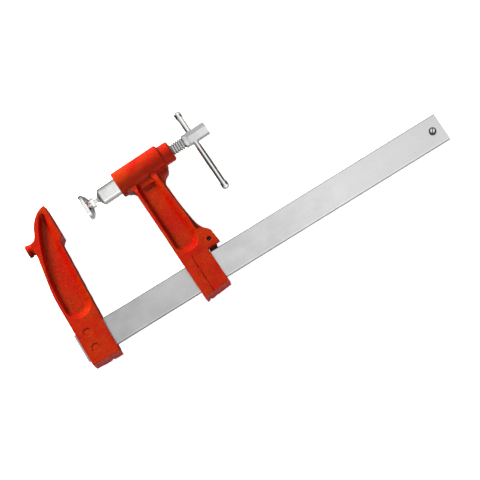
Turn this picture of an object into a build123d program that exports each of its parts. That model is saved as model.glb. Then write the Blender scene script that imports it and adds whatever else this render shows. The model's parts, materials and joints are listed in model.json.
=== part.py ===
from build123d import *
import os
from math import cos, pi, radians, sin, sqrt, tan

# An F clamp lying flat: +X runs along the bar away from the fixed jaw, +Y from the bar
# towards the tips of the arms, +Z through the thickness.
#
# Two working frames are used, both with y = 0 on the bar's centre line and z = 0 in the
# middle of its thickness. The bar frame has x = 0 at the bar's end behind the fixed jaw.
# The jaw frame has x = 0 close to the front face of the moving jaw's arm. The origin of the
# finished part is on the fixed jaw's clamping face, where the squared-up spindle meets it.
# Lengths are in millimetres, angles in degrees.

# ---- bar
BAR_LENGTH = 486.0
BAR_WIDTH = 35.0
BAR_THICK = 8.0
BAR_CHAMFER = 0.6

# ---- both arms
ARM_HALF = 12.0            # half the thickness of feet, arms and rims
WEB_HALF = 4.5             # half the thickness left between the two side pockets
REACH = 146.9              # bar centre line to spindle axis
CHEEK_FADE = 8.0           # length over which the step in a cheek dies out upwards
POCKET_OVERCUT = 0.2

# ---- fixed jaw (bar frame)
FACE_X = 48.0              # clamping face
FACE_LOW = 124.8
FACE_HIGH = 169.6
FIXED_CLEARANCE = 0.05     # seat around the bar
JAW_PIN_X = 16.0
JAW_PIN_SPACING = 20.4
JAW_PIN_R = 4.0
JAW_PIN_HALF = 11.2
DIMPLE_R = 4.6
FIXED_CHEEK_X = 24.5       # where the cheek steps down
FIXED_CHEEK_STEP = 0.3
FIXED_CHEEK_TOP = 21.0
HEEL_X = 2.2               # back of the foot; the bar's end stands out behind it
BOSS_R = 8.2               # striking boss on the back of the jaw
BOSS_Y = 133.6
BOSS_FACE_X = 2.1
BOSS_FLANGE = 4.4
BOSS_NECK_R = 7.2

# ---- stop screw near the free end of the bar (bar frame)
STOP_X = 473.5
STOP_THREAD_R = 3.0
STOP_HEAD_R = 4.3
STOP_HEAD_HIGH = 3.0
STOP_SLOT_WIDE = 1.2
STOP_SLOT_DEEP = 1.4
STOP_SLOT_ANGLE = 55.0

# ---- moving jaw (jaw frame)
JAW_AT = 149.4             # the jaw frame's place along the bar, at rest
LEAN = 2.1                 # the unloaded jaw leans towards the fixed jaw by this much
ARM_FRONT = -0.4
FOOT_BACK = 34.5
SLOT_LOW = -17.65          # the slot for the bar leaves room to rock by LEAN
SLOT_HIGH = 19.15
SLOT_HALF = 4.15
MOVING_CHEEK_X = 13.8
MOVING_CHEEK_STEP = 0.8
MOVING_CHEEK_TOP = 21.0
BARREL_RISE = 0.8          # the casting's barrel stands a little above the bore's axis
BARREL_R = 16.2
BARREL_FRONT = -13.2
BARREL_BACK = 48.8
BARREL_CHAMFER = 1.2
NECK_R = 12.6
NECK_END = 62.6
THREAD_BORE_R = 7.5
RIB_HALF = 5.5             # gusset under the barrel and web behind the arm

# ---- brake: a pawl pinned in the lug behind the arm (jaw frame)
PIN_X = 41.4
PIN_Y = 29.3
PIN_R = 2.0
PIN_HALF = 9.4
PIN_FIT = 0.05             # radial running clearance of the pin in the lug
LUG_HALF = 11.6
LUG_LOW = 20.3
LUG_BACK = 50.9
LUG_SLOT_HALF = 4.2
LUG_SLOT_TOP = 36.0
REAR_EAR_LOW = 25.4        # the rear ear is shorter than the front one
PAWL_HALF = 3.9
PAWL_BOSS_R = 4.4
PAWL_FRONT = 34.9
PAWL_BACK = 45.1
PAWL_SHOE = 3.6
PAWL_GAP = 0.05
PAWL_TEETH = 5
PAWL_TOOTH_DEEP = 0.6
SPRING_THICK = 0.5
SPRING_HALF = 3.0

# ---- guide screw in the barrel, whose tip stops the piston turning (jaw frame)
KEY_X = 2.6
KEY_THREAD_R = 3.0
KEY_TIP_R = 1.9
KEY_TIP_AT = 8.7           # distance of the tip from the spindle axis
KEY_HEAD_AT = 15.4
KEY_SHOULDER_AT = 11.0
KEY_SLOT_HALF = 0.5
KEY_SLOT_DEEP = 1.2

# ---- travel of piston and spindle from rest
TRAVEL_OUT = 16.0          # towards the fixed jaw
TRAVEL_BACK = 24.0

# ---- piston, spindle and handle, on the spindle axis (x in the jaw frame)
PISTON_R = 10.5
PISTON_FIT = 0.05          # radial running clearance in the barrel
PISTON_SHOULDER = -36.4
PISTON_BACK = KEY_X + TRAVEL_OUT + 3.0
BORE_END = PISTON_BACK + TRAVEL_BACK + 1.0
PISTON_BORE_R = 7.7
PISTON_BORE_FRONT = -14.0
NOSE_END = -42.0
NECK_STUD_R = 2.5
BALL_X = -51.1
BALL_R = 4.25
KEY_GROOVE_HALF = 2.0
KEY_GROOVE_FRONT = KEY_X - TRAVEL_BACK - 2.0
KEY_GROOVE_FLOOR = 8.4     # distance of the groove's floor from the axis

THREAD_R = 7.4
SPINDLE_TIP = -11.4
GROOVE_FRONT = -5.4
GROOVE_BACK = -2.0
GROOVE_R = 5.3            # journal groove that the retaining pins run in
SHANK_R = 5.0              # seat of the drive head
COLLAR_R = 8.6
COLLAR_FRONT = NECK_END + TRAVEL_OUT + 0.5
HEAD_FRONT = 84.9
HEAD_BACK = 111.2
HEAD_FLATS = 15.0
HEAD_CHAMFER_ANGLE = 35.0
THRUST_BALL_R = 3.0
THRUST_SEAT_R = 3.05
THRUST_SEAT_DEEP = 2.5     # pocket for the ball in the piston's bore
THRUST_TIP_R = 3.3
THRUST_TIP_DEEP = 1.0      # matching pocket in the spindle's tip
RETAINER_R = 1.5
RETAINER_OFFSET = 6.9
RETAINER_HALF = 6.1
HEAD_PIN_X = 103.6
HEAD_PIN_R = 1.5
HEAD_PIN_HALF = 7.3

TOMMY_X = 91.4
TOMMY_R = 3.5
TOMMY_HOLE_R = 3.6
TOMMY_LOW = -75.9          # ends, measured from the spindle axis
TOMMY_HIGH = 36.6
CAP_R = 4.4
CAP_LENGTH = 9.0
CAP_SOCKET = 5.0
CAP_STRAIGHT = 5.4

# ---- swivel pad (x in the jaw frame)
PAD_FACE = -59.6
PAD_R = 16.0
PAD_RIM = 4.4
PAD_SHOULDER = (-51.9, 11.6)  # the back bulges to this point between rim and hub
PAD_HUB_FRONT = -50.0
PAD_HUB_BACK = -45.6
PAD_HUB_R = 6.2
SOCKET_R = 4.35
RING_INNER_R = 3.3
RING_OUTER_R = 4.7
RING_AT = 2.95             # ring and groove, measured back from the ball's centre
RING_THICK = 1.0
RING_GROOVE_AT = 2.15
RING_GROOVE_WIDE = 2.55
RING_GROOVE_R = 5.3


def box(x0, x1, y0, y1, z0, z1):
    """A block between two corners."""
    return Pos((x0 + x1) / 2, (y0 + y1) / 2, (z0 + z1) / 2) * Box(x1 - x0, y1 - y0, z1 - z0)


def slab(face, half):
    """A flat outline thickened equally to both sides of z = 0."""
    return Pos(0, 0, -half) * extrude(face, 2 * half, dir=(0, 0, 1))


def upright(x, y, radius, z0, z1):
    """A round bar along Z."""
    return Pos(x, y, (z0 + z1) / 2) * Cylinder(radius, z1 - z0)


def turned(points, axis_y=REACH):
    """A body turned about an axis along X, the spindle's if not told, from (x, radius) points."""
    half = make_face(Polyline(*points, close=True))
    return Pos(0, axis_y, 0) * revolve(half, Axis.X)


def shaft(x0, x1, radius):
    """A plain round length on the spindle axis."""
    return turned([(x0, 0), (x1, 0), (x1, radius), (x0, radius)])


def ball(x, radius):
    """A sphere centred on the spindle axis, with its poles along that axis."""
    return Pos(x, REACH, 0) * Rot(Y=90) * Sphere(radius)


def drill(x, radius):
    """A hole or pin along Y, right through the spindle axis."""
    return Pos(x, REACH, 0) * Rot(X=90) * Cylinder(radius, 40)


def both_sides(cut):
    """A feature and its mirror image on the other side of z = 0."""
    return [cut, mirror(cut, about=Plane.XY)]


def pocket(opening, floor):
    """The two side pockets of an arm, wider at their openings than at their floors."""
    low = Pos(0, 0, WEB_HALF) * floor
    high = Pos(0, 0, ARM_HALF + POCKET_OVERCUT) * opening
    return both_sides(loft([low, high], ruled=True))


def cheek_step(x, top, deep):
    """What is taken off both cheeks of a foot behind a line across it, fading out upwards."""
    low = ARM_HALF - deep
    side = make_face(Plane.YZ * Polyline(
        (-40, low), (top, low), (top + CHEEK_FADE, ARM_HALF), (top + CHEEK_FADE, ARM_HALF + 1),
        (-40, ARM_HALF + 1), close=True))
    return both_sides(Pos(x, 0, 0) * extrude(side, 40, dir=(1, 0, 0)))


# ---- bar -----------------------------------------------------------------------------

def make_bar():
    size = Box(BAR_LENGTH, BAR_WIDTH, BAR_THICK, align=(Align.MIN, Align.CENTER, Align.CENTER))
    bar = chamfer(size.edges().filter_by(Axis.X), BAR_CHAMFER)
    for y in (-JAW_PIN_SPACING / 2, JAW_PIN_SPACING / 2):
        bar -= upright(JAW_PIN_X, y, JAW_PIN_R, -BAR_THICK, BAR_THICK)
    return bar - upright(STOP_X, 0, STOP_THREAD_R, -BAR_THICK, BAR_THICK)


def make_stop_screw():
    top = BAR_THICK / 2 + STOP_HEAD_HIGH
    shank = upright(STOP_X, 0, STOP_THREAD_R, -BAR_THICK / 2, BAR_THICK / 2)
    head = upright(STOP_X, 0, STOP_HEAD_R, BAR_THICK / 2, top)
    head = fillet(head.edges().group_by(Axis.Z)[-1], 0.8)
    slot = Box(2.2 * STOP_HEAD_R, STOP_SLOT_WIDE, 2 * STOP_SLOT_DEEP)
    return shank + head - Pos(STOP_X, 0, top) * Rot(Z=STOP_SLOT_ANGLE) * slot


# ---- fixed jaw -----------------------------------------------------------------------

def fixed_outline():
    back = Spline(
        (10.2, 137.2), (16.8, 139.7), (22.3, 150.3), (29.8, 160.9), (38.8, 167.6), (46.0, FACE_HIGH))
    tip = Line((46.0, FACE_HIGH), (FACE_X, FACE_HIGH - 0.8))
    face = Line((FACE_X, FACE_HIGH - 0.8), (FACE_X, FACE_LOW))
    under_face = Line((FACE_X, FACE_LOW), (45.6, 124.0))
    throat_corner = RadiusArc((45.6, 124.0), (43.1, 121.4), 3.0)
    front = Polyline((43.1, 121.4), (42.2, 88.0), (40.2, 40.0), (39.0, 0.0), (38.6, -29.2))
    sole = Line((38.6, -29.2), (HEEL_X, -27.3))
    heel = Line((HEEL_X, -27.3), (HEEL_X, 54.0))
    spine = Spline(
        (HEEL_X, 54.0), (3.7, 77.0), (6.9, 98.0), (10.0, 118.5), tangents=((0, 1), (0.12, 1)))
    behind_boss = Polyline((10.0, 118.5), (10.2, 137.2))
    front_side = tip + face + under_face + throat_corner + front
    return make_face(back + front_side + sole + heel + spine + behind_boss)


def fixed_pocket():
    left = Spline((6.6, 46.0), (6.9, 66.0), (10.6, 96.0), (19.0, 125.0), (28.5, 148.0), (36.0, 160.5))
    top = ThreePointArc((36.0, 160.5), (39.8, 162.0), (42.0, 158.5))
    right = Line((42.0, 158.5), (38.0, 46.0))
    low = ThreePointArc((38.0, 46.0), (22.3, 28.4), (6.6, 46.0))
    opening = make_face(left + top + right + low)
    left = Spline((10.6, 49.0), (10.8, 66.0), (14.6, 96.0), (22.8, 125.0), (31.5, 147.0), (36.4, 155.5))
    top = ThreePointArc((36.4, 155.5), (37.3, 155.8), (37.6, 154.6))
    right = Line((37.6, 154.6), (31.2, 49.0))
    low = ThreePointArc((31.2, 49.0), (21.0, 36.4), (10.6, 49.0))
    floor = make_face(left + top + right + low)
    return pocket(opening, floor)


def striking_boss():
    """A round button on the back of the fixed jaw, necked where it leaves the arm."""
    flange_end = BOSS_FACE_X + BOSS_FLANGE
    half = make_face(Polyline(
        (BOSS_FACE_X, 0), (BOSS_FACE_X, BOSS_R - 0.8), (BOSS_FACE_X + 0.8, BOSS_R),
        (flange_end - 0.6, BOSS_R), (flange_end + 0.6, BOSS_NECK_R), (13.0, BOSS_NECK_R), (13.0, 0),
        close=True))
    return Pos(0, BOSS_Y, 0) * revolve(half, Axis.X)


def make_fixed_jaw():
    jaw = slab(fixed_outline(), ARM_HALF) + striking_boss()
    for cut in fixed_pocket():
        jaw -= cut
    for cut in cheek_step(FIXED_CHEEK_X, FIXED_CHEEK_TOP, FIXED_CHEEK_STEP):
        jaw -= cut
    wide = BAR_WIDTH / 2 + FIXED_CLEARANCE
    thick = BAR_THICK / 2 + FIXED_CLEARANCE
    jaw -= box(-1, 60, -wide, wide, -thick, thick)
    for y in (-JAW_PIN_SPACING / 2, JAW_PIN_SPACING / 2):
        jaw -= upright(JAW_PIN_X, y, JAW_PIN_R, -20, 20)
        for cut in both_sides(upright(JAW_PIN_X, y, DIMPLE_R, JAW_PIN_HALF, 20)):
            jaw -= cut
    return jaw


def make_fixed_jaw_pins():
    spots = (-JAW_PIN_SPACING / 2, JAW_PIN_SPACING / 2)
    pins = [upright(JAW_PIN_X, y, JAW_PIN_R, -JAW_PIN_HALF, JAW_PIN_HALF) for y in spots]
    return Compound(children=pins)


# ---- moving jaw ----------------------------------------------------------------------

def arm_outline():
    """Foot and arm, at full thickness."""
    return make_face(Polyline(
        (ARM_FRONT, -27.4), (FOOT_BACK, -25.3), (FOOT_BACK, 30.0), (36.0, 50.0), (36.4, 62.0),
        (35.6, 84.0), (34.0, 110.0), (32.0, 140.0), (ARM_FRONT, 140.0), close=True))


def rib_outline():
    """Thinner web behind the arm: down to the lug, and the gusset under the barrel."""
    lower = Spline((46.8, 43.0), (41.0, 52.0), (38.2, 66.0), (36.0, 92.0), (35.4, 112.0))
    corner = ThreePointArc((35.4, 112.0), (36.2, 118.6), (39.9, 123.0))
    gusset = Polyline(
        (39.9, 123.0), (44.7, 125.4), (46.9, 130.0), (48.5, 138.0),
        (20.0, 138.0), (20.0, 43.0), (46.8, 43.0))
    return make_face(lower + corner + gusset)


def lug_outline():
    return make_face(Polyline(
        (20.0, LUG_LOW), (LUG_BACK, LUG_LOW), (49.5, 37.8), (45.2, 43.6), (40.4, 47.0), (20.0, 47.0),
        close=True))


def throat_corner():
    """Rounded corner between the arm's front face and the underside of the barrel."""
    x = ARM_FRONT
    curve = ThreePointArc((x, 125.0), (x - 1.7, 129.8), (x - 6.4, 132.2))
    closing = Polyline((x - 6.4, 132.2), (x - 6.4, 142.0), (6.0, 142.0), (6.0, 125.0), (x, 125.0))
    return slab(make_face(curve + closing), ARM_HALF)


def moving_pocket():
    opening = make_face(
        Polyline((3.9, 46.0), (4.2, 137.0), (26.4, 137.0), (32.8, 46.0))
        + ThreePointArc((32.8, 46.0), (18.4, 29.2), (3.9, 46.0)))
    floor = make_face(
        Polyline((7.7, 49.0), (7.9, 137.0), (22.4, 137.0), (26.4, 49.0))
        + ThreePointArc((26.4, 49.0), (17.4, 37.0), (7.7, 49.0)))
    return pocket(opening, floor)


def make_moving_jaw():
    front = BARREL_FRONT
    back = BARREL_BACK
    barrel = turned([
        (front, 0), (front, BARREL_R - BARREL_CHAMFER), (front + BARREL_CHAMFER, BARREL_R),
        (back - BARREL_CHAMFER, BARREL_R), (back, BARREL_R - BARREL_CHAMFER), (back, NECK_R),
        (NECK_END - 1.6, NECK_R), (NECK_END, NECK_R - 1.6), (NECK_END, 0)], REACH + BARREL_RISE)
    jaw = slab(arm_outline(), ARM_HALF) + slab(rib_outline(), RIB_HALF) + slab(lug_outline(), LUG_HALF)
    jaw += throat_corner()
    for cut in moving_pocket():
        jaw -= cut
    jaw = jaw + barrel + box(8.2, 24.4, 124.5, 134.0, -8.0, 8.0)
    for cut in cheek_step(MOVING_CHEEK_X, MOVING_CHEEK_TOP, MOVING_CHEEK_STEP):
        jaw -= cut
    jaw -= shaft(front - 1, BORE_END, PISTON_R + PISTON_FIT)
    jaw -= shaft(BORE_END - 1, NECK_END + 1, THREAD_BORE_R)
    jaw -= box(-5, 60, SLOT_LOW, SLOT_HIGH, -SLOT_HALF, SLOT_HALF)
    jaw -= box(FOOT_BACK - 0.4, 60, SLOT_HIGH - 2, LUG_SLOT_TOP, -LUG_SLOT_HALF, LUG_SLOT_HALF)
    jaw -= box(FOOT_BACK, 60, SLOT_HIGH - 2, REAR_EAR_LOW, -20, -LUG_SLOT_HALF)
    jaw -= upright(PIN_X, PIN_Y, PIN_R + PIN_FIT, -20, 20)
    return jaw - Pos(0, REACH, 0) * upright(KEY_X, 0, KEY_THREAD_R, -20, -PISTON_R + 1)


def make_guide_screw():
    """Slotted screw in the barrel whose plain tip runs in the piston's groove."""
    body = upright(KEY_X, REACH, KEY_THREAD_R, -KEY_HEAD_AT, -KEY_SHOULDER_AT)
    tip = upright(KEY_X, REACH, KEY_TIP_R, -KEY_SHOULDER_AT, -KEY_TIP_AT)
    slot = box(
        KEY_X - 4, KEY_X + 4, REACH - KEY_SLOT_HALF, REACH + KEY_SLOT_HALF,
        -KEY_HEAD_AT - 1, -KEY_HEAD_AT + KEY_SLOT_DEEP)
    return body + tip - slot


# ---- brake ---------------------------------------------------------------------------

def make_brake_pawl():
    """A toothed shoe on the bar's edge, hung on a cross pin. Drawn square to the bar."""
    sole = BAR_WIDTH / 2 + PAWL_GAP
    shoe_top = sole + PAWL_SHOE
    boss_left = PIN_X - PAWL_BOSS_R
    boss_right = PIN_X + PAWL_BOSS_R
    pitch = (PAWL_BACK - PAWL_FRONT) / PAWL_TEETH
    teeth = [(PAWL_FRONT, sole)]
    for i in range(PAWL_TEETH):
        teeth.append((PAWL_FRONT + (i + 0.5) * pitch, sole + PAWL_TOOTH_DEEP))
        teeth.append((PAWL_FRONT + (i + 1) * pitch, sole))
    body = Polyline(
        *teeth, (PAWL_BACK, shoe_top), (boss_right, shoe_top + 1.5), (boss_right, PIN_Y),
        (boss_left, PIN_Y), (boss_left, shoe_top + 3.0), (PAWL_FRONT, shoe_top + 1.0), close=True)
    pawl = slab(make_face(body), PAWL_HALF) + upright(PIN_X, PIN_Y, PAWL_BOSS_R, -PAWL_HALF, PAWL_HALF)
    return pawl - upright(PIN_X, PIN_Y, PIN_R, -20, 20)


def make_pawl_pin():
    return upright(PIN_X, PIN_Y, PIN_R, -PIN_HALF, PIN_HALF)


def make_pawl_spring():
    """A bowed leaf in the roof of the lug's slot that presses on the pawl."""
    high = LUG_SLOT_TOP - 0.1
    low = PIN_Y + PAWL_BOSS_R + 0.4
    left = Line((PIN_X - 6.4, high), (PIN_X - 5.2, high))
    bow = ThreePointArc((PIN_X - 5.2, high), (PIN_X, low + SPRING_THICK), (PIN_X + 5.2, high))
    right = Line((PIN_X + 5.2, high), (PIN_X + 6.4, high))
    end = Line((PIN_X + 6.4, high), (PIN_X + 6.4, high - SPRING_THICK))
    under_right = Line((PIN_X + 6.4, high - SPRING_THICK), (PIN_X + 5.4, high - SPRING_THICK))
    under_bow = ThreePointArc(
        (PIN_X + 5.4, high - SPRING_THICK), (PIN_X, low), (PIN_X - 5.4, high - SPRING_THICK))
    under_left = Line((PIN_X - 5.4, high - SPRING_THICK), (PIN_X - 6.4, high - SPRING_THICK))
    start = Line((PIN_X - 6.4, high - SPRING_THICK), (PIN_X - 6.4, high))
    upper = left + bow + right + end
    under = under_right + under_bow + under_left + start
    return slab(make_face(upper + under), SPRING_HALF)


# ---- piston and spindle --------------------------------------------------------------

def make_piston():
    """Sliding piston with a necked nose and ball, bored from the back for the spindle."""
    profile = [(PISTON_BACK, 0), (PISTON_BACK, PISTON_R - 0.6), (PISTON_BACK - 0.6, PISTON_R)]
    profile += [(PISTON_SHOULDER + 0.7, PISTON_R), (PISTON_SHOULDER, PISTON_R - 1.0)]
    profile += [(PISTON_SHOULDER - 1.7, 7.2), (PISTON_SHOULDER - 3.0, 4.6), (NOSE_END, NECK_STUD_R)]
    profile += [(BALL_X, NECK_STUD_R), (BALL_X, 0)]
    piston = turned(profile) + ball(BALL_X, BALL_R)
    piston -= shaft(PISTON_BORE_FRONT, PISTON_BACK + 1, PISTON_BORE_R)
    piston -= shaft(PISTON_BORE_FRONT - THRUST_SEAT_DEEP, PISTON_BORE_FRONT + 1, THRUST_SEAT_R)
    for side in (-1, 1):
        y = REACH + side * RETAINER_OFFSET
        piston -= upright((GROOVE_FRONT + GROOVE_BACK) / 2, y, RETAINER_R, -20, 20)
    groove = box(
        KEY_GROOVE_FRONT, PISTON_BACK + 1, REACH - KEY_GROOVE_HALF, REACH + KEY_GROOVE_HALF,
        -20, -KEY_GROOVE_FLOOR)
    return piston - groove


def make_thrust_ball():
    return ball(PISTON_BORE_FRONT - THRUST_SEAT_DEEP + THRUST_BALL_R + 0.02, THRUST_BALL_R)


def make_retainer_pins():
    """Two pins across the piston that lie in the spindle's groove."""
    x = (GROOVE_FRONT + GROOVE_BACK) / 2
    spots = (REACH - RETAINER_OFFSET, REACH + RETAINER_OFFSET)
    pins = [upright(x, y, RETAINER_R, -RETAINER_HALF, RETAINER_HALF) for y in spots]
    return Compound(children=pins)


def make_spindle():
    """Screw with a grooved front journal, a collar and a plain shank for the drive head."""
    tip = SPINDLE_TIP
    body = turned([
        (tip, 0), (tip, THREAD_R - 1.0), (tip + 1.0, THREAD_R), (GROOVE_FRONT, THREAD_R),
        (GROOVE_FRONT, GROOVE_R), (GROOVE_BACK, GROOVE_R), (GROOVE_BACK, THREAD_R),
        (COLLAR_FRONT, THREAD_R), (COLLAR_FRONT + 1.6, COLLAR_R), (HEAD_FRONT, COLLAR_R),
        (HEAD_FRONT, SHANK_R), (HEAD_BACK - 0.4, SHANK_R), (HEAD_BACK - 0.4, 0)])
    body -= shaft(tip - 1, tip + THRUST_TIP_DEEP, THRUST_TIP_R)
    return body - drill(TOMMY_X, TOMMY_HOLE_R) - drill(HEAD_PIN_X, HEAD_PIN_R)


def make_drive_head():
    """Hexagonal sleeve, with two of its flats facing along the tommy bar."""
    length = HEAD_BACK - HEAD_FRONT
    hexagon = RegularPolygon(HEAD_FLATS / 2, 6, major_radius=False, rotation=30)
    head = Pos(HEAD_FRONT, REACH, 0) * extrude(Plane.YZ * hexagon, length, dir=(1, 0, 0))
    corner_r = HEAD_FLATS / sqrt(3)
    cone = 3.0 * tan(radians(90 - HEAD_CHAMFER_ANGLE))
    rim = HEAD_FLATS / 2 - 0.2
    keep = turned([
        (HEAD_FRONT, 0), (HEAD_FRONT, rim), (HEAD_FRONT + 3.0, rim + cone),
        (HEAD_BACK - 0.5, rim + cone), (HEAD_BACK - 0.5, corner_r), (HEAD_BACK, corner_r - 0.5),
        (HEAD_BACK, 0)])
    head = head & keep
    head -= shaft(HEAD_FRONT - 1, HEAD_BACK + 1, SHANK_R)
    return head - drill(TOMMY_X, TOMMY_HOLE_R) - drill(HEAD_PIN_X, HEAD_PIN_R)


def make_head_pin():
    return Pos(HEAD_PIN_X, REACH, 0) * Rot(X=90) * Cylinder(HEAD_PIN_R, 2 * HEAD_PIN_HALF)


def across(y0, y1, radius):
    """A round length along Y through the tommy bar's hole, measured from the spindle axis."""
    return Pos(TOMMY_X, REACH + (y0 + y1) / 2, 0) * Rot(X=90) * Cylinder(radius, y1 - y0)


def make_tommy_bar():
    inset = CAP_LENGTH - CAP_SOCKET
    return across(TOMMY_LOW + inset, TOMMY_HIGH - inset, TOMMY_R)


def make_tommy_bar_caps():
    """Domed caps pressed on both ends of the bar."""
    socket = Polyline((0, CAP_LENGTH), (0, CAP_SOCKET), (TOMMY_R, CAP_SOCKET), (TOMMY_R, 0))
    wall = Polyline((TOMMY_R, 0), (CAP_R - 0.4, 0), (CAP_R, 0.4), (CAP_R, CAP_STRAIGHT))
    rise = CAP_LENGTH - CAP_STRAIGHT
    dome_r = (CAP_R ** 2 + rise ** 2) / (2 * rise)
    on_dome = (dome_r * sin(pi / 4), CAP_LENGTH - dome_r + dome_r * cos(pi / 4))
    dome = ThreePointArc((CAP_R, CAP_STRAIGHT), on_dome, (0, CAP_LENGTH))
    cap = revolve(make_face(socket + wall + dome), Axis.Y)
    high = Pos(TOMMY_X, REACH + TOMMY_HIGH - CAP_LENGTH, 0) * cap
    low = Pos(TOMMY_X, REACH + TOMMY_LOW + CAP_LENGTH, 0) * Rot(Z=180) * cap
    return Compound(children=[high, low])


# ---- swivel pad ----------------------------------------------------------------------

def make_swivel_pad():
    rim_back = PAD_FACE + PAD_RIM
    pad = turned([
        (PAD_FACE, 0), (PAD_FACE, PAD_R - 0.8), (PAD_FACE + 0.8, PAD_R), (rim_back, PAD_R),
        (rim_back + 0.4, PAD_R - 0.6), PAD_SHOULDER, (PAD_HUB_FRONT, PAD_HUB_R),
        (PAD_HUB_BACK - 0.8, PAD_HUB_R), (PAD_HUB_BACK, PAD_HUB_R - 0.8), (PAD_HUB_BACK, 0)])
    pad -= ball(BALL_X, SOCKET_R)
    pad -= shaft(BALL_X, PAD_HUB_BACK + 1, SOCKET_R)
    groove = BALL_X + RING_GROOVE_AT
    return pad - shaft(groove, groove + RING_GROOVE_WIDE, RING_GROOVE_R)


def make_pad_ring():
    """Snap ring behind the ball that keeps the pad on."""
    front = BALL_X + RING_AT
    return turned([
        (front, RING_INNER_R), (front + RING_THICK, RING_INNER_R),
        (front + RING_THICK, RING_OUTER_R), (front, RING_OUTER_R)])


# ---- placing and writing -------------------------------------------------------------

def from_bar(shape):
    """Bar frame to the part's frame."""
    return Pos(-FACE_X, -REACH, 0) * shape


def from_jaw(shape):
    """Jaw frame to the part's frame, with the jaw leaning about the pawl's pin."""
    return from_bar(Pos(JAW_AT + PIN_X, PIN_Y, 0) * Rot(Z=LEAN) * Pos(-PIN_X, -PIN_Y, 0) * shape)


PARTS = {
    "bar": from_bar(make_bar()),
    "fixed_jaw": from_bar(make_fixed_jaw()),
    "fixed_jaw_pins": from_bar(make_fixed_jaw_pins()),
    "bar_stop_screw": from_bar(make_stop_screw()),
    "brake_pawl": from_bar(Pos(JAW_AT, 0, 0) * make_brake_pawl()),
    "pawl_pin": from_bar(Pos(JAW_AT, 0, 0) * make_pawl_pin()),
    "pawl_spring": from_jaw(make_pawl_spring()),
    "moving_jaw": from_jaw(make_moving_jaw()),
    "piston_guide_screw": from_jaw(make_guide_screw()),
    "piston": from_jaw(make_piston()),
    "thrust_ball": from_jaw(make_thrust_ball()),
    "spindle_retainer_pins": from_jaw(make_retainer_pins()),
    "pad_snap_ring": from_jaw(make_pad_ring()),
    "swivel_pad": from_jaw(make_swivel_pad()),
    "spindle": from_jaw(make_spindle()),
    "drive_head": from_jaw(make_drive_head()),
    "drive_head_pin": from_jaw(make_head_pin()),
    "tommy_bar": from_jaw(make_tommy_bar()),
    "tommy_bar_caps": from_jaw(make_tommy_bar_caps()),
}

os.makedirs("parts", exist_ok=True)
for name, shape in PARTS.items():
    export_step(shape, f"parts/{name}.step")
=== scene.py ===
import json
from math import cos, hypot, pi, radians, sin, sqrt, tan, tau

import bmesh
import bpy
import numpy as np
from mathutils import Matrix, Vector


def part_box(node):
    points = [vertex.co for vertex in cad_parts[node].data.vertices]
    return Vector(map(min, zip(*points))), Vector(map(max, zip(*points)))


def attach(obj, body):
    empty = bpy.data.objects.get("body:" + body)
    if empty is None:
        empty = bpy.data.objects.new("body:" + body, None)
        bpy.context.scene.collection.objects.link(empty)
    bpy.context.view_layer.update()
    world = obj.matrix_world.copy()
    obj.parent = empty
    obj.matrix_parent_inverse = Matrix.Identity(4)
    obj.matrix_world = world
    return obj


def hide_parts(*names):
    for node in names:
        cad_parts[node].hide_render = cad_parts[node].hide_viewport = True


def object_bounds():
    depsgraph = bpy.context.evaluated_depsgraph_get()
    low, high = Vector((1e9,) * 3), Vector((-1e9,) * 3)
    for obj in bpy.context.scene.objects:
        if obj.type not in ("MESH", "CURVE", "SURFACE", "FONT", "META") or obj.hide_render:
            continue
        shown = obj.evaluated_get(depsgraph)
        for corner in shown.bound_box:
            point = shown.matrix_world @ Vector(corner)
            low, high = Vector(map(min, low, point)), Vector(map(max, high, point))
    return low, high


# An F clamp lying flat. The row frame's X runs along the bar, Y from the bar to the tips of
# the arms, Z up. Shapes are built in millimetres and placed in metres.
#
# Everything turned about the spindle axis is built in the jaw frame: x along that axis, away
# from the fixed jaw, with x = 0 at the front of the sliding arm; y across it, z up.

MM = 0.001

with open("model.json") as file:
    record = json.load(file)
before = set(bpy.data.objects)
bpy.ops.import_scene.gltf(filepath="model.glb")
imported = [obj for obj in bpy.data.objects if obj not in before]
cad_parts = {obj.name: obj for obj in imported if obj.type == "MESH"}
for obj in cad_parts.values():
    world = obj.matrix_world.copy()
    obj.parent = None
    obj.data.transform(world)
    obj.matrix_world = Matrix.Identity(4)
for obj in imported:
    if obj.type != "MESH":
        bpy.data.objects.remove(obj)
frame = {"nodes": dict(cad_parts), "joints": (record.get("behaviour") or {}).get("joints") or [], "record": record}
cad_low, cad_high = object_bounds()
nodes = frame["nodes"]
joints = {joint["name"]: joint for joint in frame["joints"]}
mounts = {mount["name"]: mount for mount in frame["record"]["mounts"]}

# ---- sizes, in millimetres

BAR_CHAMFER = 1.2
TOOTH_PITCH = 3.0           # serrations on the bar's narrow edges
TOOTH_DEEP = 0.45
TOOTH_HALF = 2.7            # half the width of the serrated strip
TOOTH_LIP = 0.15            # width of the slope down into that strip
TOOTH_FLANK = 0.35          # width of the slope at each end of a tooth

STOP_HEAD_HIGH = 3.0
STOP_SHANK_R = 3.0
STOP_HOLE_R = 3.02
STOP_SLOT = (1.2, 1.3)      # width and depth
STOP_SLOT_ANGLE = 55.0      # degrees from the bar's length

PAD_FACE = -59.6
PAD_R = 16.0
PAD_RIM = 4.4
PAD_SHOULDER = (-51.9, 11.6)
BALL_X = -51.1
BALL_R = 4.25
SOCKET_R = 4.35
RING_FRONT = BALL_X + 2.95
RING_GROOVE = (BALL_X + 2.15, BALL_X + 4.7, 5.3)

PISTON_R = 10.5
PISTON_SHOULDER = -36.4
PISTON_BACK = 21.6
PISTON_BORE_R = 7.7
PISTON_BORE_FRONT = -14.0
KEY_GROOVE = (-23.4, 2.0, 8.4)      # front end, half width, distance of the floor from the axis
RETAINER_X = -3.7
RETAINER_OFFSET = 6.9
RETAINER_R = 1.5
RETAINER_HALF = 6.1

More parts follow.
